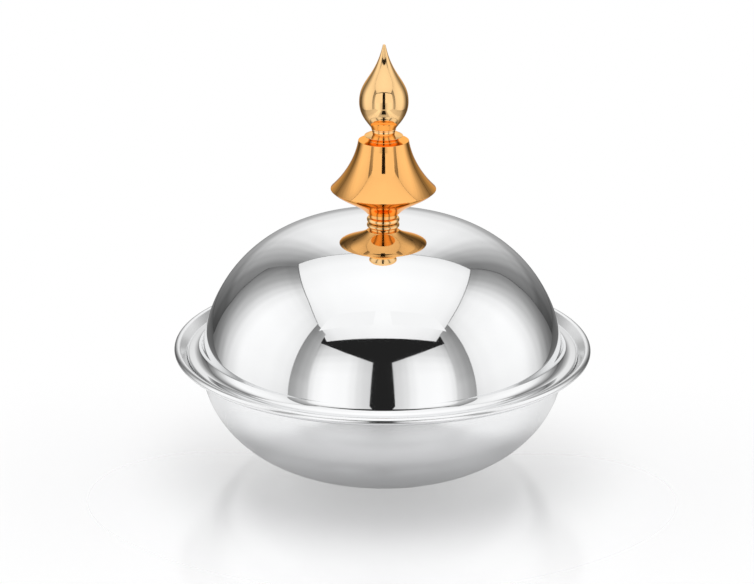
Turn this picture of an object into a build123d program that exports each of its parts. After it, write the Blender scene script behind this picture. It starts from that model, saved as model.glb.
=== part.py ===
from build123d import *
from math import acos, cos, degrees, radians, sin, sqrt
import os

# A serving bowl of polished sheet steel with a domed lid that lifts off.
# The lid carries a turned brass finial knob, clamped through it by one stud.
# Millimetres, +Z up. The origin is at the centre of the bowl's underside.

# Bowl
SHEET = 1.0                 # thickness of the bowl's and the lid's sheet
RIM_RADIUS = 120.0          # outside of the rolled rim
BEAD_RADIUS = 2.1           # outside radius of the rolled rim's tube
BEAD_HEIGHT = 67.0          # centre of the rolled rim above the underside
LEDGE_DROP = 2.3            # ledge below the centre of the rolled rim
LEDGE_BEND = 1.5            # inner radius of the bend from wall to ledge
RIM_WIDTH = 16.0            # from the outside of the rim in to the mouth
FOOT_RADIUS = 42.0          # flat underside
WALL_DROP = 42.0            # how far the wall falls steeply below the ledge
FOOT_SPREAD = 24.0          # how far the wall runs flat beyond the underside

# Lid
LID_GAP = 0.4               # from the foot of the rim's slope in to the lid's edge
LID_BEAD = 2.35             # outside radius of the lid's rolled edge
LID_BEND = 1.0              # hollow bend from the gutter up into the skirt
SKIRT_RISE = 4.0            # start of the dome's curve above the gutter
DOME_GAP = 0.5              # how much slimmer the dome is than the bowl's mouth
DOME_RISE = 76.3            # crown of the dome above the gutter
DOME_SHOULDER = 20.0        # how far the side climbs steeply
CROWN_SPREAD = 71.0         # how far the crown runs nearly flat
SEAT_RADIUS = 10.5          # flat at the crown that the knob stands on

# Knob
STUD_RADIUS = 3.0
STUD_PLAY = 0.2             # between the stud and the holes that it passes
THREAD_PLAY = 0.05          # between the stud and the threads that hold it
RING_RADIUS = 9.35
RING_HEIGHT = 3.4
SPIGOT_RADIUS = 8.0         # neck of the cup that stands in the ring
SPIGOT_HEIGHT = 2.3
CUP_FOOT = 9.5
CUP_HEIGHT = 14.15          # from the top of its spigot to its lip
CUP_FLOOR = 3.0
CUP_LOW = (0.21, 0.37)      # shares out and up that steer the cup's flaring side
CUP_HIGH = (0.8, 0.68)
LIP_RADIUS = 30.0           # sharp lip where the bell sits on the cup
BELL_HEIGHT = 28.6
BELL_TOP = 14.3
BELL_LOW = (0.48, 0.25)     # shares in and up that steer the bell's hollow side
BELL_HIGH = (0.9, 0.627)
KNOB_WALL = 1.6             # wall of the cup and of the bell
COLLAR_FOOT = 8.6
COLLAR_LIP = 10.95
COLLAR_FLARE = 2.75         # height from the collar's foot to its lip
COLLAR_HEIGHT = 4.95
FLARE_STEER = (0, 0.5)      # keeps the flare upright at its foot
NECK_RADIUS = 6.5
NECK_HEIGHT = 2.1
NECK_BEAD = 0.45            # radius of the fine bead round the neck's top
BULB_FOOT = 6.9
BULB_RADIUS = 13.9
BULB_BELLY = 15.2           # height from the bulb's foot to its widest place
BULB_HEIGHT = 48.3
BELLY_LOW = (0.25, 0.2)     # shares out and up that steer the round belly
BELLY_HIGH = (1, 0.48)
OGEE_LOW = (0, 0.39)        # shares in and up that steer the drawn-out top
OGEE_HIGH = (0.68, 0.43)
TIP_RADIUS = 0.9
TAPPED_DEPTH = 14.0         # blind thread in the bulb
STUD_END_GAP = 1.0          # left between the stud and the end of that thread

# Fastening under the crown
WASHER_RADIUS = 9.0
WASHER_HEIGHT = 1.2
LOCK_RADIUS = 5.3
LOCK_HEIGHT = 1.6
LOCK_SLIT = 1.0
LOCK_SLANT = 20.0           # lean of the slit in the lock washer, in degrees
NUT_FLATS = 10.0
NUT_HEIGHT = 5.0
NUT_CHAMFER = 0.5
CAP_RADIUS = 4.4
CAP_HEIGHT = 9.5            # whole nut with its cap
NUT_DEPTH = 7.6             # blind thread in the nut

CIRCLE_HANDLE = 4 / 3 * (sqrt(2) - 1)

# Places that several pieces share
BEAD_CENTRE = RIM_RADIUS - BEAD_RADIUS
MOUTH_RADIUS = RIM_RADIUS - RIM_WIDTH
DOME_FOOT = MOUTH_RADIUS - DOME_GAP
LEDGE_Z = BEAD_HEIGHT - LEDGE_DROP
SLOPE_FOOT = BEAD_CENTRE - BEAD_RADIUS * sqrt(2) - LEDGE_DROP
LID_EDGE = SLOPE_FOOT - LID_GAP
GUTTER_Z = LEDGE_Z + SHEET
CROWN_Z = GUTTER_Z + DOME_RISE
HOLE_RADIUS = STUD_RADIUS + STUD_PLAY
THREAD_RADIUS = STUD_RADIUS + THREAD_PLAY
SPIGOT_Z = CROWN_Z + RING_HEIGHT
CUP_Z = SPIGOT_Z + SPIGOT_HEIGHT
LIP_Z = CUP_Z + CUP_HEIGHT
BELL_TOP_Z = LIP_Z + BELL_HEIGHT
NECK_Z = BELL_TOP_Z + COLLAR_HEIGHT
BULB_Z = NECK_Z + NECK_HEIGHT
WASHER_Z = CROWN_Z - SHEET - WASHER_HEIGHT
LOCK_Z = WASHER_Z - LOCK_HEIGHT


def turn(*edges):
    """Turn a closed outline of radius and height round the upright axis."""
    outline = make_face(Wire(list(edges)))
    return revolve(Plane.XZ * outline, Axis.Z)


def bar(radius, low, high):
    """A plain round bar between two heights."""
    return Pos(0, 0, low) * Cylinder(radius, high - low, align=(Align.CENTER, Align.CENTER, Align.MIN))


def shell_curve(top, foot, fall, spread, inset):
    """Wall curve that leaves the top upright and meets the foot level.

    The inset moves it toward the hollow side by an even thickness.
    """
    side = 1 if top[1] > foot[1] else -1
    corner = CIRCLE_HANDLE * inset
    start = (top[0] - inset, top[1])
    upper = (top[0] - inset, top[1] - side * (fall - corner))
    lower = (foot[0] + spread - corner, foot[1] + side * inset)
    end = (foot[0], foot[1] + side * inset)
    return Bezier(start, upper, lower, end)


def on_bead(radius, degrees):
    """A point round the rolled rim, counted from its outermost side."""
    turned = radians(degrees)
    return (BEAD_CENTRE + radius * cos(turned), BEAD_HEIGHT + radius * sin(turned))


def bowl_shell():
    """One sheet: flat foot, curved wall, ledge for the lid, slope and rim rolled shut."""
    tube_inside = BEAD_RADIUS - SHEET
    roll_start = 135
    roll_end = roll_start + degrees(acos(tube_inside / BEAD_RADIUS))
    roll_middle = (roll_start + roll_end) / 2 - 180
    bend_z = LEDGE_Z - SHEET - LEDGE_BEND
    wall_top = (MOUTH_RADIUS + SHEET, bend_z)
    foot = (FOOT_RADIUS, 0)
    bend_centre = (wall_top[0] + LEDGE_BEND, bend_z)
    top_bend = CenterArc(bend_centre, LEDGE_BEND + SHEET, 90, 90)
    under_bend = CenterArc(bend_centre, LEDGE_BEND, 90, 90)
    slope_top = on_bead(BEAD_RADIUS, roll_start)
    slope_under = on_bead(tube_inside, roll_start)
    under_corner = (slope_under[0] - slope_under[1] + LEDGE_Z - SHEET, LEDGE_Z - SHEET)
    roll = ThreePointArc(on_bead(BEAD_RADIUS, roll_end), on_bead(BEAD_RADIUS, roll_middle), slope_top)
    return turn(
        Line((0, 0), foot),
        shell_curve(wall_top, foot, WALL_DROP, FOOT_SPREAD, 0),
        under_bend,
        Line(under_bend @ 0, under_corner),
        Line(under_corner, roll @ 0),
        roll,
        Line(slope_top, (SLOPE_FOOT, LEDGE_Z)),
        Line((SLOPE_FOOT, LEDGE_Z), top_bend @ 0),
        top_bend,
        shell_curve(wall_top, foot, WALL_DROP, FOOT_SPREAD, SHEET),
        Line((FOOT_RADIUS, SHEET), (0, SHEET)),
        Line((0, SHEET), (0, 0)),
    )


def lid_shell():
    """One sheet: edge rolled shut, narrow gutter, upright skirt, dome and the knob's flat seat."""
    skirt_top = (DOME_FOOT, GUTTER_Z + SKIRT_RISE)
    seat = (SEAT_RADIUS, CROWN_Z)
    outer = shell_curve(skirt_top, seat, DOME_SHOULDER, CROWN_SPREAD, 0)
    inner = shell_curve(skirt_top, seat, DOME_SHOULDER, CROWN_SPREAD, SHEET)
    bend_centre = (DOME_FOOT + LID_BEND, GUTTER_Z + LID_BEND)
    bend = CenterArc(bend_centre, LID_BEND, 180, 90)
    under_bend = CenterArc(bend_centre, LID_BEND + SHEET, 180, 90)
    roll_foot = (LID_EDGE - LID_BEAD, LEDGE_Z)
    roll_start = (roll_foot[0] - sqrt(LID_BEAD**2 - (LID_BEAD - SHEET) ** 2), GUTTER_Z)
    roll = ThreePointArc(roll_start, (LID_EDGE, LEDGE_Z + LID_BEAD), roll_foot)
    return turn(
        Line((HOLE_RADIUS, CROWN_Z), seat),
        outer,
        Line(skirt_top, bend @ 0),
        bend,
        Line(bend @ 1, roll_start),
        roll,
        Line(roll_foot, under_bend @ 1),
        under_bend,
        Line(under_bend @ 0, inner @ 0),
        inner,
        Line((SEAT_RADIUS, CROWN_Z - SHEET), (HOLE_RADIUS, CROWN_Z - SHEET)),
        Line((HOLE_RADIUS, CROWN_Z - SHEET), (HOLE_RADIUS, CROWN_Z)),
    )


def seat_ring():
    """Round-edged ring between the crown of the lid and the cup."""
    half = RING_HEIGHT / 2
    centre = (RING_RADIUS - half, CROWN_Z + half)
    edge = CenterArc(centre, half, -90, 180)
    return turn(
        Line((HOLE_RADIUS, CROWN_Z), edge @ 0),
        edge,
        Line(edge @ 1, (HOLE_RADIUS, SPIGOT_Z)),
        Line((HOLE_RADIUS, SPIGOT_Z), (HOLE_RADIUS, CROWN_Z)),
    )


def steer(start, end, share):
    """A point that lies the given shares of the way out and up from start to end."""
    return (start[0] + (end[0] - start[0]) * share[0], start[1] + (end[1] - start[1]) * share[1])


def under_cup():
    """Open cup below the bell, with a spigot that stands on the ring."""
    foot = (CUP_FOOT, CUP_Z)
    lip = (LIP_RADIUS, LIP_Z)
    floor = (CUP_FOOT, CUP_Z + CUP_FLOOR)
    inner_lip = (LIP_RADIUS - KNOB_WALL, LIP_Z)
    return turn(
        Line((HOLE_RADIUS, SPIGOT_Z), (SPIGOT_RADIUS, SPIGOT_Z)),
        Line((SPIGOT_RADIUS, SPIGOT_Z), (SPIGOT_RADIUS, CUP_Z)),
        Line((SPIGOT_RADIUS, CUP_Z), foot),
        Bezier(foot, steer(foot, lip, CUP_LOW), steer(foot, lip, CUP_HIGH), lip),
        Line(lip, inner_lip),
        Bezier(inner_lip, steer(floor, inner_lip, CUP_HIGH), steer(floor, inner_lip, CUP_LOW), floor),
        Line(floor, (HOLE_RADIUS, CUP_Z + CUP_FLOOR)),
        Line((HOLE_RADIUS, CUP_Z + CUP_FLOOR), (HOLE_RADIUS, SPIGOT_Z)),
    )


def bell():
    """Hollow bell, drawn in from its lip to the flat top that holds the collar."""
    lip = (LIP_RADIUS, LIP_Z)
    top = (BELL_TOP, BELL_TOP_Z)
    inner_lip = (LIP_RADIUS - KNOB_WALL, LIP_Z)
    inner_top = (BELL_TOP - KNOB_WALL, BELL_TOP_Z - KNOB_WALL)
    return turn(
        Bezier(lip, steer(lip, top, BELL_LOW), steer(lip, top, BELL_HIGH), top),
        Line(top, (HOLE_RADIUS, BELL_TOP_Z)),
        Line((HOLE_RADIUS, BELL_TOP_Z), (HOLE_RADIUS, inner_top[1])),
        Line((HOLE_RADIUS, inner_top[1]), inner_top),
        Bezier(
            inner_top,
            steer(inner_lip, inner_top, BELL_HIGH),
            steer(inner_lip, inner_top, BELL_LOW),
            inner_lip,
        ),
        Line(inner_lip, lip),
    )


def collar():
    """Undercut collar with a sharp lip and a coned top."""
    lip = (COLLAR_LIP, BELL_TOP_Z + COLLAR_FLARE)
    foot = (COLLAR_FOOT, BELL_TOP_Z)
    flare = Bezier(foot, steer(foot, lip, FLARE_STEER), lip)
    return turn(
        Line((HOLE_RADIUS, BELL_TOP_Z), foot),
        flare,
        Line(lip, (NECK_RADIUS, NECK_Z)),
        Line((NECK_RADIUS, NECK_Z), (HOLE_RADIUS, NECK_Z)),
        Line((HOLE_RADIUS, NECK_Z), (HOLE_RADIUS, BELL_TOP_Z)),
    )


def neck():
    """Short neck with a fine round bead at its top."""
    bead = CenterArc((NECK_RADIUS, BULB_Z - NECK_BEAD), NECK_BEAD, -90, 180)
    return turn(
        Line((HOLE_RADIUS, NECK_Z), (NECK_RADIUS, NECK_Z)),
        Line((NECK_RADIUS, NECK_Z), bead @ 0),
        bead,
        Line(bead @ 1, (HOLE_RADIUS, BULB_Z)),
        Line((HOLE_RADIUS, BULB_Z), (HOLE_RADIUS, NECK_Z)),
    )


def bulb():
    """Onion-shaped end piece: round belly, hollow shoulder and a fine rounded tip."""
    foot = (BULB_FOOT, BULB_Z)
    widest = (BULB_RADIUS, BULB_Z + BULB_BELLY)
    end = (TIP_RADIUS, BULB_Z + BULB_HEIGHT - TIP_RADIUS)
    tip = CenterArc((0, end[1]), TIP_RADIUS, 0, 90)
    body = turn(
        Line((0, BULB_Z), foot),
        Bezier(foot, steer(foot, widest, BELLY_LOW), steer(foot, widest, BELLY_HIGH), widest),
        Bezier(widest, steer(widest, end, OGEE_LOW), steer(widest, end, OGEE_HIGH), end),
        tip,
        Line(tip @ 1, (0, BULB_Z)),
    )
    return body - bar(THREAD_RADIUS, BULB_Z, BULB_Z + TAPPED_DEPTH)


def stud():
    """Threaded stud from the nut under the crown to the blind thread in the bulb."""
    low = LOCK_Z - NUT_DEPTH + STUD_END_GAP
    high = BULB_Z + TAPPED_DEPTH - STUD_END_GAP
    return bar(STUD_RADIUS, low, high)


def washer():
    """Flat washer that spreads the nut's load under the crown."""
    top = WASHER_Z + WASHER_HEIGHT
    return bar(WASHER_RADIUS, WASHER_Z, top) - bar(HOLE_RADIUS, WASHER_Z, top)


def lock_washer():
    """Split spring washer, pressed flat, with a slanting slit."""
    ring = bar(LOCK_RADIUS, LOCK_Z, WASHER_Z) - bar(HOLE_RADIUS, LOCK_Z, WASHER_Z)
    slit = Box(LOCK_RADIUS, LOCK_SLIT, LOCK_HEIGHT * 2, align=(Align.MIN, Align.CENTER, Align.CENTER))
    return ring - Pos(0, 0, LOCK_Z + LOCK_HEIGHT / 2) * Rot(LOCK_SLANT, 0, 0) * slit


def cap_nut():
    """Six-sided nut with a domed cap over its blind thread."""
    hexagon = RegularPolygon(NUT_FLATS / 2, 6, major_radius=False)
    body = Pos(0, 0, LOCK_Z - NUT_HEIGHT) * extrude(hexagon, NUT_HEIGHT)
    corner = NUT_FLATS / sqrt(3)
    blank = chamfer(bar(corner, LOCK_Z - NUT_HEIGHT, LOCK_Z).edges(), NUT_CHAMFER)
    cap_z = LOCK_Z - CAP_HEIGHT + CAP_RADIUS
    cap = bar(CAP_RADIUS, cap_z, LOCK_Z - NUT_HEIGHT) + Pos(0, 0, cap_z) * Sphere(CAP_RADIUS)
    return (body & blank) + cap - bar(THREAD_RADIUS, LOCK_Z - NUT_DEPTH, LOCK_Z)


PIECES = {
    "bowl_shell": bowl_shell,
    "lid_shell": lid_shell,
    "knob_seat_ring": seat_ring,
    "knob_under_cup": under_cup,
    "knob_bell": bell,
    "knob_collar": collar,
    "knob_neck": neck,
    "knob_bulb": bulb,
    "knob_stud": stud,
    "flat_washer": washer,
    "lock_washer": lock_washer,
    "cap_nut": cap_nut,
}

os.makedirs("parts", exist_ok=True)
for name, make in PIECES.items():
    solid = make()
    export_step(solid, f"parts/{name}.step")
    print(name, round(solid.volume, 1))
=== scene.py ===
# %% [markdown]
# # A lidded dish of polished steel with a turned brass knob
# The dish is a bowl of pressed sheet steel, a domed lid of the same sheet, and
# a knob of turned and polished brass that a stud clamps through the lid.
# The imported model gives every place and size. This lesson dresses it: each
# piece gets a finer mesh where it mirrors the room, and a finish built from
# shader nodes. All lengths are in metres.

# %% Load the frame
from math import cos, degrees, pi, radians, sin, sqrt

import bmesh
import bpy
from mathutils import Matrix, Vector


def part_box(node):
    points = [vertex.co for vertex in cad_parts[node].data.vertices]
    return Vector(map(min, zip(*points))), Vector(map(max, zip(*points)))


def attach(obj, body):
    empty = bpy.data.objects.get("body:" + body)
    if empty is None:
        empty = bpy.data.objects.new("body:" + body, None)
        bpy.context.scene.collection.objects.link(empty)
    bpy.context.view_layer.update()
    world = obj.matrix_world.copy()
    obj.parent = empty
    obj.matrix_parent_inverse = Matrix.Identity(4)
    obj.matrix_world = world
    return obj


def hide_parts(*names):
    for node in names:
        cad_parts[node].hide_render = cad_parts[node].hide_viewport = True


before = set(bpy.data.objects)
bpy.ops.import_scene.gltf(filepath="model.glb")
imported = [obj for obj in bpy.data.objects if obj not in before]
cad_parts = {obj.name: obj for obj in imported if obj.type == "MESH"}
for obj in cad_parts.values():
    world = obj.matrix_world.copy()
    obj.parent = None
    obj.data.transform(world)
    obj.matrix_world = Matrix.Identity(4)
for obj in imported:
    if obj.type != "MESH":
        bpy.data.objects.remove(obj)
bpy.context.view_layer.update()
print("nodes", sorted(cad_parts))

# %% [markdown]
# ## Heights and radii that the pieces share
# A turned piece is known by a few radii and heights. They are read from the
# box of each node, so the looks follow the model if it changes. The small
# sizes of the sheet work, such as its thickness, have a name of their own.

# %% Sizes from the frame
SHEET = 0.001
BEAD_RADIUS = 0.0021
LEDGE_DROP = 0.0023
LEDGE_BEND = 0.0015
LID_COVE = 0.0055
LID_ROLL = 0.0013
RIM_WIDTH = 0.016
DOME_GAP = 0.0005
LID_GAP = 0.0004


def low_z(node):
    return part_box(node)[0][2]


def high_z(node):
    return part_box(node)[1][2]


def reach(node):
    return round(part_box(node)[1][0], 5)


rim_radius = reach("bowl_shell")
bead_centre = (rim_radius - BEAD_RADIUS, high_z("bowl_shell") - BEAD_RADIUS)
ledge_z = bead_centre[1] - LEDGE_DROP
mouth_radius = rim_radius - RIM_WIDTH
slope_foot = bead_centre[0] - BEAD_RADIUS * sqrt(2) - LEDGE_DROP
lid_edge = slope_foot - LID_GAP
gutter_z = ledge_z + SHEET
dome_foot = mouth_radius - DOME_GAP
crown_z = low_z("knob_seat_ring")
print("rim", rim_radius, "ledge", round(ledge_z, 5), "crown", round(crown_z, 5))

# %% [markdown]
# ## The camera
# The photograph looks down on the rim by about twenty degrees, from about
# 1.6 metres away, through a long lens. The camera stands there, turned by a
# quarter of a degree, as the rim's ellipse shows. A camera's own axes are the
# columns of its matrix, so the matrix is written from three directions. The
# focal length and the place of the dish's axis are given in the pixels of the
# photograph, which is 754 pixels wide.

# %% Camera
VIEW_DISTANCE = 1.6
LOOK_DOWN = radians(20.5)
PITCH = radians(19.3993)
ROLL = radians(0.283)
IMAGE_WIDTH = 754
FOCAL_PIXELS = 2766.9
SENSOR = 36.0
AXIS_OFFSET_PIXELS = 5.73

ahead = Vector((0, cos(PITCH), -sin(PITCH)))
level_up = Vector((0, sin(PITCH), cos(PITCH)))
level_right = Vector((1, 0, 0))
camera_right = level_right * cos(ROLL) + level_up * sin(ROLL)
camera_up = level_up * cos(ROLL) - level_right * sin(ROLL)
camera_place = Vector((
    -AXIS_OFFSET_PIXELS / FOCAL_PIXELS * VIEW_DISTANCE,
    -VIEW_DISTANCE * cos(LOOK_DOWN),
    bead_centre[1] + VIEW_DISTANCE * sin(LOOK_DOWN),
))
camera_data = bpy.data.cameras.new("camera")
camera_data.sensor_width = SENSOR
camera_data.lens = FOCAL_PIXELS / IMAGE_WIDTH * SENSOR
camera = bpy.data.objects.new("camera", camera_data)
axes = Matrix((camera_right, camera_up, -ahead)).transposed()
camera.matrix_world = Matrix.Translation(camera_place) @ axes.to_4x4()
bpy.context.scene.collection.objects.link(camera)
bpy.context.scene.camera = camera
print("camera", tuple(round(way, 3) for way in camera_place), "lens", round(camera_data.lens, 1), "mm")

# %% [markdown]
# ## Shader sums in plain Python
# A finish changes over a surface by sums of noise, height and radius. Each
# sum is a Math node. This small class wraps a socket, so that a line such as
# `0.04 + smear * 0.02` adds the nodes by itself.


# %% Value
class Value:
    """A shader socket that can stand in a sum."""

    def __init__(self, finish, socket):
        self.finish = finish
        self.socket = socket

    def sum(self, operation, left, right):
        return self.finish.node("ShaderNodeMath", {"operation": operation}, {0: left, 1: right})

    def __add__(self, other):
        return self.sum("ADD", self, other)

    def __sub__(self, other):
        return self.sum("SUBTRACT", self, other)

    def __rsub__(self, other):
        return self.sum("SUBTRACT", other, self)

    def __mul__(self, other):
        return self.sum("MULTIPLY", self, other)

    def __truediv__(self, other):
        return self.sum("DIVIDE", self, other)

    def __pow__(self, other):
        return self.sum("POWER", self, other)

    __radd__ = __add__
    __rmul__ = __mul__


# %% [markdown]
# ## A finish, node by node
# Any node that isn't a sum comes from one method of the finish, which sets
# the node's options first and then its sockets. A colour ramp's stops are
# grey shades, eased into each other.


# %% Finish
class Finish:
    """A material that is built node by node."""

    def __init__(self, name):
        self.material = bpy.data.materials.new(name)
        self.material.use_nodes = True
        self.tree = self.material.node_tree
        self.tree.nodes.clear()

    def node(self, kind, settings=None, sockets=None, output=0):
        made = self.tree.nodes.new(kind)
        for name, setting in (settings or {}).items():
            if name == "stops":
                self.set_stops(made.color_ramp, setting)
            else:
                setattr(made, name, setting)
        for name, value in (sockets or {}).items():
            if isinstance(value, Value):
                self.tree.links.new(value.socket, made.inputs[name])
            else:
                made.inputs[name].default_value = value
        return Value(self, made.outputs[output]) if made.outputs else made

    def set_stops(self, ramp, stops):
        ramp.interpolation = "EASE"
        while len(ramp.elements) < len(stops):
            ramp.elements.new(1.0)
        for element, (place, shade) in zip(ramp.elements, stops):
            element.position = place
            element.color = (shade, shade, shade, 1.0)

    def surface(self, shader):
        self.node("ShaderNodeOutputMaterial", sockets={"Surface": shader})
        return self.material


# %% [markdown]
# ## Where on a turned piece
# Lathe lines and polishing marks run round the axis of the piece. Three
# values place them: the distance from the axis, the height, and the turn
# round the axis. They come from the object's own coordinates, so the marks
# stay on the piece when it moves.


# %% Turned coordinates
def turned_place(finish):
    coords = finish.node("ShaderNodeTexCoord", output="Object")
    split = finish.tree.nodes.new("ShaderNodeSeparateXYZ")
    finish.tree.links.new(coords.socket, split.inputs[0])
    x, y, z = (Value(finish, socket) for socket in split.outputs)
    radius = (x * x + y * y) ** 0.5
    turn = x.sum("ARCTAN2", y, x)
    return coords, radius, turn, z


def noise(finish, place, scale, detail=2.0, roughness=0.5):
    return finish.node(
        "ShaderNodeTexNoise",
        sockets={"Vector": place, "Scale": scale, "Detail": detail, "Roughness": roughness},
    )


def spin_lines(finish, radius, turn, z, spacing):
    """Fine rings round the axis, each a little uneven along its way."""
    place = finish.node(
        "ShaderNodeCombineXYZ",
        sockets={0: radius / spacing, 1: turn * 2.0, 2: z / spacing},
    )
    return noise(finish, place, 1.0, detail=3.0)


# %% [markdown]
# ## Polished metal
# Both the steel and the brass are polished until they mirror. What tells the
# eye that it is metal and not a perfect ball is small: rings left by the
# spinning tool, a wavy sheet a few microns deep, and a film of polish and
# finger grease that blurs the mirror here and there. One recipe makes all
# finishes, with the depth of each mark given in metres.


# %% Metal recipe
SMEARS_PER_METRE = 38.0
CLOUDS_PER_METRE = 9.0
WAVES_PER_METRE = 45.0
SMEAR_SHARE = 0.65
FILM_STOPS = [(0.42, 0.0), (0.68, 1.0)]
RING_GLOSS_SHARE = 0.4
FILM_SHADE = 0.965
WHITE = (1.0, 1.0, 1.0)


def polished(name, colour, gloss, smear_depth, ring_depth, wave_depth, ring_spacing=0.0006, edge=WHITE):
    """A mirror metal. The depths of rings and waves and the spacing are in metres."""
    finish = Finish(name)
    coords, radius, turn, z = turned_place(finish)
    smears = noise(finish, coords, SMEARS_PER_METRE, detail=5.0, roughness=0.6)
    cloud = noise(finish, coords, CLOUDS_PER_METRE, detail=2.0)
    rings = spin_lines(finish, radius, turn, z, ring_spacing)
    waves = noise(finish, coords, WAVES_PER_METRE, detail=1.0)
    patches = smears * SMEAR_SHARE + cloud * (1 - SMEAR_SHARE)
    film = finish.node("ShaderNodeValToRGB", {"stops": FILM_STOPS}, {"Fac": patches})
    height = rings * ring_depth + waves * wave_depth
    bump = finish.node(
        "ShaderNodeBump", sockets={"Strength": 1.0, "Distance": 1.0, "Height": height}
    )
    filmed = tuple(shade * FILM_SHADE for shade in colour)
    tint = finish.node(
        "ShaderNodeMix",
        {"data_type": "RGBA"},
        {0: film * 0.5, 6: (*colour, 1.0), 7: (*filmed, 1.0)},
        output=2,
    )
    shader = finish.node(
        "ShaderNodeBsdfPrincipled",
        sockets={
            "Base Color": tint,
            "Metallic": 1.0,
            "Roughness": gloss + film * smear_depth + rings * (smear_depth * RING_GLOSS_SHARE),
            "Specular Tint": (*edge, 1.0),
            "Normal": bump,
        },
    )
    return finish.surface(shader)


# %% [markdown]
# ## The five finishes
# The lid mirrors sharply, the bowl a little less, as a spun bowl often does.
# Two brass colours are used, a deeper one for the bell and its cup. Brass stays
# warm where it is seen at a slant, so its edge has a colour of its own. The
# fastening is plain turned steel with coarser tool rings.

# %% Finishes
MICRON = 0.000001
STEEL = (0.875, 0.88, 0.885)
WARM_BRASS = (0.98, 0.50, 0.16)
PALE_BRASS = (0.98, 0.63, 0.29)
BRASS_EDGE = (1.0, 0.7, 0.42)
PLAIN_STEEL = (0.62, 0.63, 0.65)
brass_marks = {
    "gloss": 0.04,
    "smear_depth": 0.04,
    "ring_depth": 0.5 * MICRON,
    "wave_depth": 1.0 * MICRON,
    "ring_spacing": 0.0004,
    "edge": BRASS_EDGE,
}

lid_steel = polished("mirror_steel", STEEL, 0.028, 0.03, 0.4 * MICRON, 2 * MICRON)
bowl_steel = polished("soft_mirror_steel", STEEL, 0.13, 0.04, 1.2 * MICRON, 4 * MICRON)
warm_brass = polished("warm_mirror_brass", WARM_BRASS, **brass_marks)
pale_brass = polished("pale_mirror_brass", PALE_BRASS, **brass_marks)
plain_steel = polished("turned_steel", PLAIN_STEEL, 0.2, 0.08, 4 * MICRON, 0.0, ring_spacing=0.00025)
print("finishes", [metal.name for metal in (lid_steel, bowl_steel, warm_brass, pale_brass, plain_steel)])

# %% [markdown]
# ## Turning an outline into a piece
# Each round piece is a closed outline of radius and height, turned once round
# the axis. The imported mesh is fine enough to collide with, but a mirror
# shows every flat, so the outline is drawn again here with far more steps.
# Arcs and steered curves give lists of points, and one function turns them.

# %% Outline helpers
CIRCLE_HANDLE = 4 / 3 * (sqrt(2) - 1)


def arc(centre, radius, start, stop, steps):
    turns = [radians(start + (stop - start) * step / steps) for step in range(steps + 1)]
    return [(centre[0] + radius * cos(turn), centre[1] + radius * sin(turn)) for turn in turns]


def steered(start, low, high, end, steps):
    """Points along a curve that leaves start toward low and reaches end from high."""
    corners = (start, low, high, end)
    points = []
    for step in range(steps + 1):
        way = step / steps
        rest = 1 - way
        shares = (rest ** 3, 3 * rest ** 2 * way, 3 * rest * way * way, way ** 3)
        pulls = list(zip(shares, corners))
        points.append(tuple(sum(share * corner[axis] for share, corner in pulls) for axis in (0, 1)))
    return points


def steer(start, end, share):
    """The point that lies the given shares out and up on the way from start to end."""
    return tuple(start[axis] + (end[axis] - start[axis]) * share[axis] for axis in (0, 1))


print("a quarter circle's handle is", round(CIRCLE_HANDLE, 4), "of its radius")

# %% [markdown]
# ## From outline to mesh
# Each point of the outline becomes a ring of points round the axis, and a
# point on the axis stays single. Faces join each ring to the next. The
# mesh is smooth but for its real edges, and those get a bevel of about a
# tenth of a millimetre, because a perfectly sharp edge never glints.

# %% Turning
AROUND = 320
KNOB_AROUND = 192
SAME_PLACE = 0.0000001
SHARP_FROM = radians(28)
SHEET_EDGE = 0.00012
BRASS_EDGE_WIDTH = 0.00015


def turned_mesh(name, outline, around):
    builder = bmesh.new()
    rings = []
    for radius, height in outline:
        count = 1 if radius < SAME_PLACE else around
        turns = [2 * pi * spot / around for spot in range(count)]
        rings.append([builder.verts.new((radius * cos(turn), radius * sin(turn), height)) for turn in turns])
    for ring, following in zip(rings, rings[1:] + rings[:1]):
        for here in range(around):
            there = (here + 1) % around
            corners = [ring[here % len(ring)], ring[there % len(ring)]]
            corners += [following[there % len(following)], following[here % len(following)]]
            corners = list(dict.fromkeys(corners))
            if len(corners) > 2:
                builder.faces.new(corners)
    bmesh.ops.recalc_face_normals(builder, faces=builder.faces)
    mesh = bpy.data.meshes.new(name)
    builder.to_mesh(mesh)
    builder.free()
    mesh.shade_smooth()
    mesh.set_sharp_from_angle(angle=SHARP_FROM)
    return mesh


def turned(name, outline, finish, body, node, around=AROUND, edge=SHEET_EDGE):
    """Turns a closed outline round the axis and lets it stand for its node."""
    before = outline[-1:] + outline[:-1]
    clean = [spot for spot, last in zip(outline, before) if (Vector(spot) - Vector(last)).length > SAME_PLACE]
    mesh = turned_mesh(name, clean, around)
    mesh.materials.append(finish)
    piece = bpy.data.objects.new(name, mesh)
    bpy.context.scene.collection.objects.link(piece)
    rounding = piece.modifiers.new("rounded_edges", "BEVEL")
    rounding.width = edge
    rounding.segments = 3
    rounding.limit_method = "ANGLE"
    rounding.angle_limit = SHARP_FROM
    rounding.harden_normals = True
    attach(piece, body)
    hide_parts(node)
    print(name, "points in outline", len(clean), "faces", len(mesh.polygons))
    return piece


# %% [markdown]
# ## The bowl
# One round blank is pressed into a bowl: a flat foot, a wall that swells and
# then stands nearly upright, a narrow ledge for the lid, a short slope and an
# edge rolled over into a bead. The wall is one steered curve, inside and out,
# so that the mirror runs over it with no break.

# %% Bowl
FOOT_RADIUS = 0.042
WALL_DROP = 0.042
FOOT_SPREAD = 0.024
WALL_STEPS = 90
SLOPE_MEETS_BEAD = 135
BEAD_ENDS = -166.5
BEAD_STEPS = 40
OUTER_BEND_STEPS = 8
INNER_BEND_STEPS = 12


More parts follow.
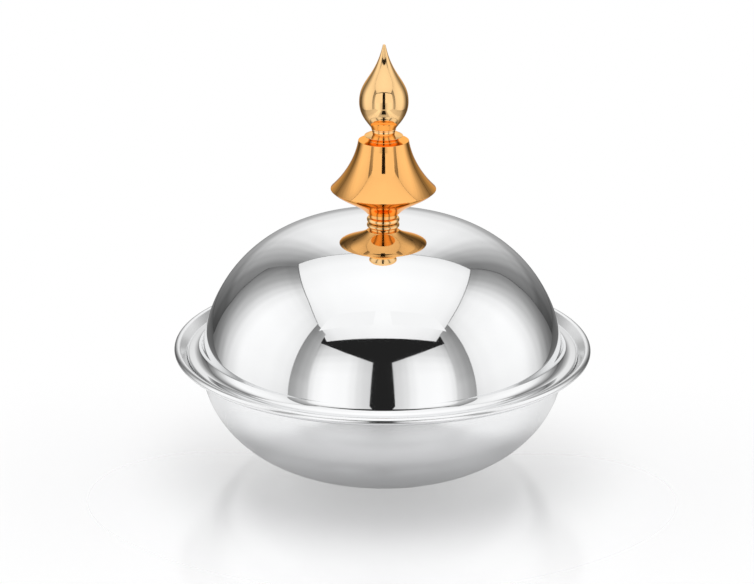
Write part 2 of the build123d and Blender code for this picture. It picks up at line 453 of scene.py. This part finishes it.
def on_bead(radius, angle):
    return (bead_centre[0] + radius * cos(radians(angle)), bead_centre[1] + radius * sin(radians(angle)))


def bowl_wall(inset):
    """The wall from the ledge's bend down to the flat foot, moved in by an inset."""
    top = (mouth_radius + SHEET - inset, ledge_z - SHEET - LEDGE_BEND)
    foot = (FOOT_RADIUS, inset)
    corner = CIRCLE_HANDLE * inset
    low = (top[0], top[1] - WALL_DROP + corner)
    high = (foot[0] + FOOT_SPREAD - corner, foot[1])
    return steered(top, low, high, foot, WALL_STEPS)


def bowl_outline():
    bend = (mouth_radius + SHEET + LEDGE_BEND, ledge_z - SHEET - LEDGE_BEND)
    under_rise = on_bead(BEAD_RADIUS - SHEET, SLOPE_MEETS_BEAD)
    under_corner = (under_rise[0] - under_rise[1] + ledge_z - SHEET, ledge_z - SHEET)
    return (
        [(0.0, 0.0)]
        + bowl_wall(0.0)[::-1]
        + arc(bend, LEDGE_BEND, 180, 90, OUTER_BEND_STEPS)
        + [under_corner]
        + arc(bead_centre, BEAD_RADIUS, BEAD_ENDS, SLOPE_MEETS_BEAD, BEAD_STEPS)
        + [(slope_foot, ledge_z)]
        + arc(bend, LEDGE_BEND + SHEET, 90, 180, INNER_BEND_STEPS)
        + bowl_wall(SHEET)
        + [(0.0, SHEET)]
    )


bowl = turned("pressed_bowl", bowl_outline(), bowl_steel, "bowl", "bowl_shell")

# %% [markdown]
# ## The lid
# The lid is pressed from the same sheet. Its edge rests on the bowl's ledge,
# a hollow cove runs round inside the edge, the wall of the dome rises from it
# with a slight lean, and the very crown is flat for the knob. The lean and
# the cove were read from the mirror: the dark slit of the room runs down the
# dome without a break and ends in a rounded foot. The lid is polished more
# brightly than the bowl, so the seams of the room show in it as thin lines.

# %% Lid
DOME_SHOULDER = 0.023
DOME_LEAN = radians(8)
CROWN_SPREAD = 0.071
SEAT_RADIUS = 0.0105
HOLE_RADIUS = 0.0032
DOME_STEPS = 140
COVE_STEPS = 40
ROLL_STEPS = 12


def dome_curve(foot, inset):
    """The dome from its leaning foot up to the flat seat, moved in by an inset."""
    corner = CIRCLE_HANDLE * inset
    start = (foot[0] - inset * cos(DOME_LEAN), foot[1] - inset * sin(DOME_LEAN))
    rise = DOME_SHOULDER - corner
    upper = (start[0] - rise * sin(DOME_LEAN), start[1] + rise * cos(DOME_LEAN))
    lower = (SEAT_RADIUS + CROWN_SPREAD - corner, crown_z - inset)
    return steered(start, upper, lower, (SEAT_RADIUS, crown_z - inset), DOME_STEPS)


def rolled_edge():
    """The flange's end: a half ellipse as high as the sheet."""
    centre = (lid_edge - LID_ROLL, gutter_z - SHEET / 2)
    turns = [pi * step / ROLL_STEPS for step in range(ROLL_STEPS + 1)]
    return [(centre[0] + LID_ROLL * sin(turn), centre[1] + SHEET / 2 * cos(turn)) for turn in turns]


def lid_outline():
    cove = (dome_foot + LID_COVE, gutter_z + LID_COVE)
    foot = (cove[0] - LID_COVE * cos(DOME_LEAN), cove[1] - LID_COVE * sin(DOME_LEAN))
    cove_top = 180 + degrees(DOME_LEAN)
    return (
        [(HOLE_RADIUS, crown_z)]
        + dome_curve(foot, 0.0)[::-1]
        + arc(cove, LID_COVE, cove_top, 270, COVE_STEPS)
        + rolled_edge()
        + arc(cove, LID_COVE + SHEET, 270, cove_top, COVE_STEPS)
        + dome_curve(foot, SHEET)
        + [(HOLE_RADIUS, crown_z - SHEET)]
    )


lid = turned("domed_lid", lid_outline(), lid_steel, "lid", "lid_shell")

# %% [markdown]
# ## The knob's ring and cup
# The knob is a stack of turned brass pieces on one stud. Each outline takes
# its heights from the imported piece, and its curves from shares of the way out
# and up, as a turner would mark them on a drawing. At the bottom stand a
# round-edged ring and an open cup, whose spigot sits in the ring. All are
# turned by one function, which also gives them the brass.

# %% Ring and cup
KNOB_WALL = 0.0016
RING_STEPS = 28
CUP_STEPS = 48
CUP_INSIDE_STEPS = 32
SPIGOT_RADIUS = 0.008
SPIGOT_HEIGHT = 0.0023
CUP_FLOOR = 0.003
CUP_FOOT = 0.0095
CUP_LOW = (0.21, 0.37)
CUP_HIGH = (0.8, 0.68)


def turn_brass(name, outline, node, metal=pale_brass):
    piece = turned(name, outline, metal, "lid", node, around=KNOB_AROUND, edge=BRASS_EDGE_WIDTH)


def ring_outline():
    low, high = low_z("knob_seat_ring"), high_z("knob_seat_ring")
    half = (high - low) / 2
    centre = (reach("knob_seat_ring") - half, low + half)
    return [(HOLE_RADIUS, low)] + arc(centre, half, -90, 90, RING_STEPS) + [(HOLE_RADIUS, high)]


def cup_outline():
    low, lip_z = low_z("knob_under_cup"), high_z("knob_under_cup")
    cup_z = low + SPIGOT_HEIGHT
    foot = (CUP_FOOT, cup_z)
    lip = (reach("knob_under_cup"), lip_z)
    floor = (CUP_FOOT, cup_z + CUP_FLOOR)
    inner_lip = (lip[0] - KNOB_WALL, lip_z)
    inner_start, inner_end = steer(floor, inner_lip, CUP_HIGH), steer(floor, inner_lip, CUP_LOW)
    return (
        [(HOLE_RADIUS, low), (SPIGOT_RADIUS, low), (SPIGOT_RADIUS, cup_z)]
        + steered(foot, steer(foot, lip, CUP_LOW), steer(foot, lip, CUP_HIGH), lip, CUP_STEPS)
        + steered(inner_lip, inner_start, inner_end, floor, CUP_INSIDE_STEPS)
        + [(HOLE_RADIUS, cup_z + CUP_FLOOR)]
    )


turn_brass("seat_ring", ring_outline(), "knob_seat_ring")
turn_brass("under_cup", cup_outline(), "knob_under_cup", warm_brass)

# %% [markdown]
# ## The bell
# The bell is hollow and meets the cup in one sharp lip. Its side is hollowed
# like a trumpet's, and its flat top carries the collar.

# %% Bell
BELL_TOP = 0.0143
BELL_LOW = (0.48, 0.25)
BELL_HIGH = (0.9, 0.627)
BELL_STEPS = 64
BELL_INSIDE_STEPS = 40
def bell_outline():
    lip = (reach("knob_bell"), low_z("knob_bell"))
    top = (BELL_TOP, high_z("knob_bell"))
    inner_lip = (lip[0] - KNOB_WALL, lip[1])
    inner_top = (top[0] - KNOB_WALL, top[1] - KNOB_WALL)
    inner_start, inner_end = steer(inner_lip, inner_top, BELL_HIGH), steer(inner_lip, inner_top, BELL_LOW)
    return (
        steered(lip, steer(lip, top, BELL_LOW), steer(lip, top, BELL_HIGH), top, BELL_STEPS)
        + [(HOLE_RADIUS, top[1]), (HOLE_RADIUS, inner_top[1])]
        + steered(inner_top, inner_start, inner_end, inner_lip, BELL_INSIDE_STEPS)
    )


turn_brass("hollow_bell", bell_outline(), "knob_bell", warm_brass)

# %% [markdown]
# ## Collar and neck
# An undercut collar flares to a sharp lip and closes in a low cone. The short
# neck above it ends in a fine bead.

# %% Collar and neck
NECK_RADIUS = 0.0065
NECK_BEAD = 0.00045
COLLAR_FOOT = 0.0086
COLLAR_FLARE = 0.00275
UPRIGHT_SHARE = 1 / 3
FLARE_LEAN = (0.33, 0.5)
FLARE_STEPS = 20
NECK_BEAD_STEPS = 14


def collar_outline():
    low, high = low_z("knob_collar"), high_z("knob_collar")
    foot = (COLLAR_FOOT, low)
    lip = (reach("knob_collar"), low + COLLAR_FLARE)
    upright = (COLLAR_FOOT, low + COLLAR_FLARE * UPRIGHT_SHARE)
    leaning = steer(upright, lip, FLARE_LEAN)
    return (
        [(HOLE_RADIUS, low)]
        + steered(foot, upright, leaning, lip, FLARE_STEPS)
        + [(NECK_RADIUS, high), (HOLE_RADIUS, high)]
    )


def neck_outline():
    low, high = low_z("knob_neck"), high_z("knob_neck")
    bead = arc((NECK_RADIUS, high - NECK_BEAD), NECK_BEAD, -90, 90, NECK_BEAD_STEPS)
    return [(HOLE_RADIUS, low), (NECK_RADIUS, low)] + bead + [(HOLE_RADIUS, high)]


turn_brass("undercut_collar", collar_outline(), "knob_collar")
turn_brass("beaded_neck", neck_outline(), "knob_neck")

# %% [markdown]
# ## The bulb
# The end piece is shaped like an onion: a round belly that draws out into a
# fine tip. Two steered curves meet at the widest place, and the tip is a tiny
# ball. A blind hole in the foot takes the stud.

# %% Bulb
BULB_FOOT = 0.0069
BULB_BELLY = 0.0152
TIP_RADIUS = 0.0009
BELLY_LOW = (0.25, 0.2)
BELLY_HIGH = (1, 0.48)
OGEE_LOW = (0, 0.39)
OGEE_HIGH = (0.68, 0.43)
BELLY_STEPS = 48
OGEE_STEPS = 80
TIP_STEPS = 8
THREAD_RADIUS = 0.00305
TAPPED_DEPTH = 0.014


def bulb_outline():
    low, high = low_z("knob_bulb"), high_z("knob_bulb")
    foot = (BULB_FOOT, low)
    widest = (reach("knob_bulb"), low + BULB_BELLY)
    end = (TIP_RADIUS, high - TIP_RADIUS)
    return (
        steered(foot, steer(foot, widest, BELLY_LOW), steer(foot, widest, BELLY_HIGH), widest, BELLY_STEPS)
        + steered(widest, steer(widest, end, OGEE_LOW), steer(widest, end, OGEE_HIGH), end, OGEE_STEPS)
        + arc((0.0, end[1]), TIP_RADIUS, 0, 90, TIP_STEPS)
        + [(0.0, low + TAPPED_DEPTH), (THREAD_RADIUS, low + TAPPED_DEPTH), (THREAD_RADIUS, low)]
    )


turn_brass("onion_bulb", bulb_outline(), "knob_bulb")

# %% [markdown]
# ## The fastening under the crown
# Inside the lid a washer, a split spring washer and a domed nut hold the
# stud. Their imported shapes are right, so they stay as they are and only get
# the finish of plain turned steel.

# %% Fastening
for node in ("knob_stud", "flat_washer", "lock_washer", "cap_nut"):
    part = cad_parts[node]
    part.data.materials.clear()
    part.data.materials.append(plain_steel)
    print(node, "finish", plain_steel.name)

# %% [markdown]
# ## Helpers for flat boards
# The floor and the room are plain flat boards. Their tone changes along some
# way, such as the height, and is given by a few places and the share there.


# %% Board helpers
def plain_board(name, corners, finish):
    mesh = bpy.data.meshes.new(name)
    mesh.from_pydata(corners, [], [tuple(range(len(corners)))])
    mesh.materials.append(finish)
    board = bpy.data.objects.new(name, mesh)
    bpy.context.scene.collection.objects.link(board)
    return board


def shade_along(finish, value, stops):
    """A smooth change along one way, given by (place, share) stops."""
    first, last = stops[0][0], stops[-1][0]
    at = finish.node("ShaderNodeMapRange", sockets={0: value, 1: first, 2: last})
    shares = [((place - first) / (last - first), share) for place, share in stops]
    return finish.node("ShaderNodeValToRGB", {"stops": shares}, {"Fac": at})


def split_place(finish, coords):
    split = finish.tree.nodes.new("ShaderNodeSeparateXYZ")
    finish.tree.links.new(coords.socket, split.inputs[0])
    return [Value(finish, socket) for socket in split.outputs]


# %% [markdown]
# ## The floor
# The dish stands on a pale board with a polished top, so a soft picture of
# the dish hangs under it. The board covers most of the white surround beside
# the foot, and fades into it round the dish and behind it. A grain too fine
# to see by itself breaks up the gloss a little.

# %% Floor
FLOOR_REACH = 0.6
FADE_FROM = 0.10
FADE_TO = 0.29
FRONT_FADE_FROM = -0.12
FRONT_FADE_TO = 0.14
MOST_COVER = 0.72
BOARD_GREY = (0.80, 0.80, 0.81, 1.0)
BOARD_GLOSS = 0.12
GRAIN_PER_METRE = 60.0
GRAIN_GLOSS = 0.05


def board_finish():
    finish = Finish("pale_board")
    coords, radius, turn, z = turned_place(finish)
    y = split_place(finish, coords)[1]
    grain = noise(finish, coords, GRAIN_PER_METRE, detail=3.0)
    near = shade_along(finish, radius, [(FADE_FROM, 1.0), (FADE_TO, 0.0)])
    front = shade_along(finish, y, [(FRONT_FADE_FROM, 1.0), (FRONT_FADE_TO, 0.0)])
    shader = finish.node(
        "ShaderNodeBsdfPrincipled",
        sockets={
            "Base Color": BOARD_GREY,
            "Metallic": 0.12,
            "IOR": 1.8,
            "Roughness": BOARD_GLOSS + grain * GRAIN_GLOSS,
            "Alpha": near * front * MOST_COVER,
        },
    )
    return finish.surface(shader)


def level_square(half, height):
    return [(-half, -half, height), (half, -half, height), (half, half, height), (-half, half, height)]


floor = plain_board("floor", level_square(FLOOR_REACH, 0), board_finish())
print("floor", 2 * FLOOR_REACH, "m wide, fades from", FADE_FROM, "to", FADE_TO, "m")

# %% [markdown]
# ## Boards of light
# Mirrors show the room, so the room is built for them: a tent with a bright
# ceiling, sides that are bright beside the dish and dim toward the back, and
# two front curtains that leave a dark slit for the camera. The boards glow by
# themselves. They are hidden from the camera, which sees only their picture
# in the metal. Each board's glow changes along one or two ways, given by a
# few places and the share of light there. The way named side is the distance
# from the middle, and the way named corner leans down to the back.

# %% Glowing boards
TENT_SIDE = 0.45
TENT_FRONT = -0.47
TENT_BACK = 0.45
WALL_TOP = 0.85
SIDES = (-1, 1)
CORNER_LEAN = 0.45


def glow(name, strength, **fades):
    finish = Finish(name)
    coords = finish.node("ShaderNodeTexCoord", output="Object")
    x, y, z = split_place(finish, coords)
    ways = {"y": y, "z": z, "side": (x * x) ** 0.5, "corner": y - z * CORNER_LEAN}
    light = None
    for way, stops in fades.items():
        share = shade_along(finish, ways[way], stops)
        light = share if light is None else share * light
    shader = finish.node(
        "ShaderNodeBsdfPrincipled",
        sockets={
            "Base Color": (0, 0, 0, 1),
            "Roughness": 1.0,
            "Specular IOR Level": 0.0,
            "Emission Color": light or (1, 1, 1, 1),
            "Emission Strength": strength,
        },
    )
    return finish.surface(shader)


def tent_board(name, corners, finish):
    board = plain_board(name, corners, finish)
    board.visible_camera = False
    board.visible_shadow = False
    print(name, "glows with", finish.name)
    return board


# %% [markdown]
# ## The ceiling
# The bright field on the dome is the picture of the ceiling, which narrows
# toward the back. A dim board just above it, a little wider, shows as the
# thin grey seam round that field.

# %% Ceiling
CEILING = 0.62
SEAM = 0.007
SEAM_DROP = 0.002
SEAM_STARTS = 0.2
ceiling_edge = [(-0.362, 0.381), (-0.406, -0.085), (-0.492, -0.573), (0.461, -0.569), (0.433, -0.097), (0.395, 0.335)]


def beyond(x, y):
    """A ceiling corner moved out by the seam's width, and back if it is a back corner."""
    return (x + SEAM if x > 0 else x - SEAM, y + SEAM if y > SEAM_STARTS else y, CEILING + SEAM_DROP)


ceiling_glow = glow(
    "ceiling_glow", 1.15,
    side=[(0.0, 1.0), (0.2, 0.97), (0.34, 0.93), (0.46, 0.82)],
    y=[(-0.57, 0.9), (-0.3, 0.96), (0.0, 1.0), (0.2, 0.96), (0.38, 0.84)],
)
seam_glow = glow("seam_glow", 0.16)
tent_board("tent_ceiling", [(x, y, CEILING) for x, y in ceiling_edge], ceiling_glow)
tent_board("ceiling_seam", [beyond(x, y) for x, y in ceiling_edge], seam_glow)

# %% [markdown]
# ## The side walls
# The side walls end at the back along a slack, bowed edge, like cloth that
# hangs from a frame. Their front strips are dimmer, and a nearly dark seam
# runs along the bowed edge.

# %% Side walls
SIDE_FRONT = -0.32
SEAM_STEP = 0.001
back_edges = {
    -1: [(0.459, -0.066), (0.374, 0.022), (0.333, 0.167), (0.363, 0.307), (0.453, 0.46), (0.478, 0.65)],
    1: [(0.417, -0.019), (0.343, 0.132), (0.342, 0.276), (0.387, 0.423), (0.406, 0.599)],
}
side_glow = glow(
    "side_glow", 1.12,
    y=[(SIDE_FRONT, 0.85), (-0.25, 0.91), (-0.15, 0.97), (0.0, 1.0), (0.08, 0.91), (0.13, 0.76), (0.19, 0.58),
       (0.26, 0.43), (0.34, 0.36), (0.45, 0.28)],
    z=[(0.0, 0.92), (0.15, 0.98), (0.3, 1.0), (0.42, 0.97), (0.5, 0.94), (0.57, 0.89), (0.64, 0.79), (WALL_TOP, 0.7)],
    corner=[(-0.05, 1.0), (0.1, 0.88), (0.17, 0.72), (0.25, 0.55), (0.35, 0.43)],
)
strip_glow = glow(
    "strip_glow", 1.12,
    y=[(TENT_FRONT, 0.62), (-0.41, 0.50), (-0.35, 0.38), (SIDE_FRONT, 0.33)],
    z=[(0.0, 1.0), (0.11, 0.98), (0.19, 0.87), (0.3, 0.8), (0.45, 0.72), (0.56, 0.62)],
)
deep_seam_glow = glow("deep_seam_glow", 0.04)
for side_sign, back_edge in back_edges.items():
    x = side_sign * TENT_SIDE
    edge = [(x, y, z) for y, z in back_edge] + [(x, back_edge[-1][0], WALL_TOP)]
    tent_board(f"tent_side_{side_sign}", [(x, SIDE_FRONT, WALL_TOP), (x, SIDE_FRONT, 0)] + edge, side_glow)
    strip = [(TENT_FRONT, 0), (SIDE_FRONT, 0), (SIDE_FRONT, WALL_TOP), (TENT_FRONT, WALL_TOP)]
    tent_board(f"front_strip_{side_sign}", [(x, y, z) for y, z in strip], strip_glow)
    behind = [(x + side_sign * SEAM_STEP, y + SEAM, z) for _, y, z in edge]
    tent_board(f"side_seam_{side_sign}", edge + behind[::-1], deep_seam_glow)

# %% [markdown]
# ## The back
# The back wall is bright in the middle and dim at the sides, and dim near the
# floor, which gives the dome its grey shoulders.

# %% Back wall
BACK_REACH = 0.65


def upright(half, y, low, high):
    return [(-half, y, low), (half, y, low), (half, y, high), (-half, y, high)]


back_glow = glow(
    "back_glow", 1.05,
    side=[(0.0, 1.0), (0.10, 0.97), (0.175, 0.87), (0.225, 0.69), (0.275, 0.52), (0.33, 0.41), (0.42, 0.25),
          (0.6, 0.16)],
    z=[(0.0, 0.28), (0.11, 0.45), (0.19, 0.8), (0.26, 0.95), (0.35, 1.0), (0.5, 0.98), (0.64, 0.88),
       (WALL_TOP, 0.85)],
)
tent_board("tent_back", upright(BACK_REACH, TENT_BACK, 0, WALL_TOP), back_glow)

# %% [markdown]
# ## The front curtains and the dark slit
# The two curtains leave a slit that widens to the sides at its top, like a
# letter T. Behind it the room is nearly dark, and a dark runner lies before
# it on the floor. Two small cards stand before the knob at the slit's wide
# top and keep it out of the brass, where only the narrow slit should show.

# %% Curtains
KNOB_CARD_Y = -0.15
DARK_ROOM = -0.75
SLIT_HALF = 0.058
RUNNER_END = -0.25
RUNNER_HEIGHT = 0.0005
curtain_outline = [(TENT_SIDE, 0.0), (TENT_SIDE, 0.50), (0.2, 0.365), (0.048, 0.292), (SLIT_HALF, 0.0)]
knob_card_outline = [(0.017, 0.214), (0.13, 0.214), (0.13, 0.312), (0.017, 0.312)]
curtain_glow = glow(
    "curtain_glow", 1.12,
    side=[(0.045, 0.64), (0.08, 0.69), (0.11, 0.76), (0.14, 0.88), (0.18, 0.97), (0.3, 1.0), (0.37, 0.95),
          (0.42, 0.83), (0.45, 0.62)],
    z=[(0.0, 1.0), (0.2, 1.0), (0.275, 0.94), (0.325, 0.85), (0.375, 0.73), (0.5, 0.55)],
)
card_glow = glow("card_glow", 1.045)
dark_glow = glow("dark_glow", 0.018)
for side_sign in SIDES:
    curtain = [(side_sign * x, TENT_FRONT, z) for x, z in curtain_outline]
    tent_board(f"curtain_{side_sign}", curtain, curtain_glow)
    card = [(side_sign * x, KNOB_CARD_Y, z) for x, z in knob_card_outline]
    tent_board(f"knob_card_{side_sign}", card, card_glow)
tent_board("dark_room", upright(1, DARK_ROOM, -0.3, 1.2), dark_glow)
runner = [(-SLIT_HALF, TENT_FRONT), (SLIT_HALF, TENT_FRONT), (SLIT_HALF, RUNNER_END), (-SLIT_HALF, RUNNER_END)]
tent_board("dark_runner", [(x, y, RUNNER_HEIGHT) for x, y in runner], dark_glow)

# %% [markdown]
# ## The far floor
# Where the pale board has faded out, the metal still has to see a floor. A
# low board gives it one. It is dimmer straight ahead, where the dish's own
# shade lies, and brightest a little to each side, which draws the two light
# streaks on the bowl.

# %% Far floor
FAR_FRONT = -0.6
FAR_HEIGHT = -0.001
far_glow = glow(
    "far_floor_glow", 1.2,
    side=[(0.0, 0.44), (0.085, 0.50), (0.125, 0.95), (0.19, 1.0), (0.26, 0.73), (0.6, 0.55)],
    y=[(TENT_FRONT, 1.0), (-0.3, 0.95), (-0.1, 0.85), (0.04, 0.75), (0.11, 0.42), (0.19, 0.22), (0.3, 0.16),
       (0.45, 0.12)],
)
far = [(-BACK_REACH, FAR_FRONT), (BACK_REACH, FAR_FRONT), (BACK_REACH, TENT_BACK), (-BACK_REACH, TENT_BACK)]
tent_board("far_floor", [(x, y, FAR_HEIGHT) for x, y in far], far_glow)

# %% [markdown]
# ## The surround
# The camera sees a plain white surround. The metal and the board don't, so
# that only the tent lights them.

# %% World
world = bpy.data.worlds.new("surround")
world.use_nodes = True
bpy.context.scene.world = world
background = world.node_tree.nodes["Background"]
background.inputs["Color"].default_value = (1, 1, 1, 1)
background.inputs["Strength"].default_value = 1.0
world.cycles_visibility.glossy = False
world.cycles_visibility.diffuse = False
bpy.context.scene.view_settings.view_transform = "Standard"
bpy.context.scene.view_settings.look = "None"
print("surround", world.name)

# %% [markdown]
# ## A lamp for the board
# One wide, soft lamp hangs above and lights the board. The metal doesn't
# mirror it.

# %% Lamp
LAMP_HEIGHT = 1.6
lamp_data = bpy.data.lights.new("board_lamp", "AREA")
lamp_data.shape = "DISK"
lamp_data.size = 1.6
lamp_data.energy = 15.0
lamp = bpy.data.objects.new("board_lamp", lamp_data)
lamp.location = (0.0, 0.0, LAMP_HEIGHT)
lamp.visible_glossy = False
bpy.context.scene.collection.objects.link(lamp)
print("lamp", lamp_data.energy, "W")
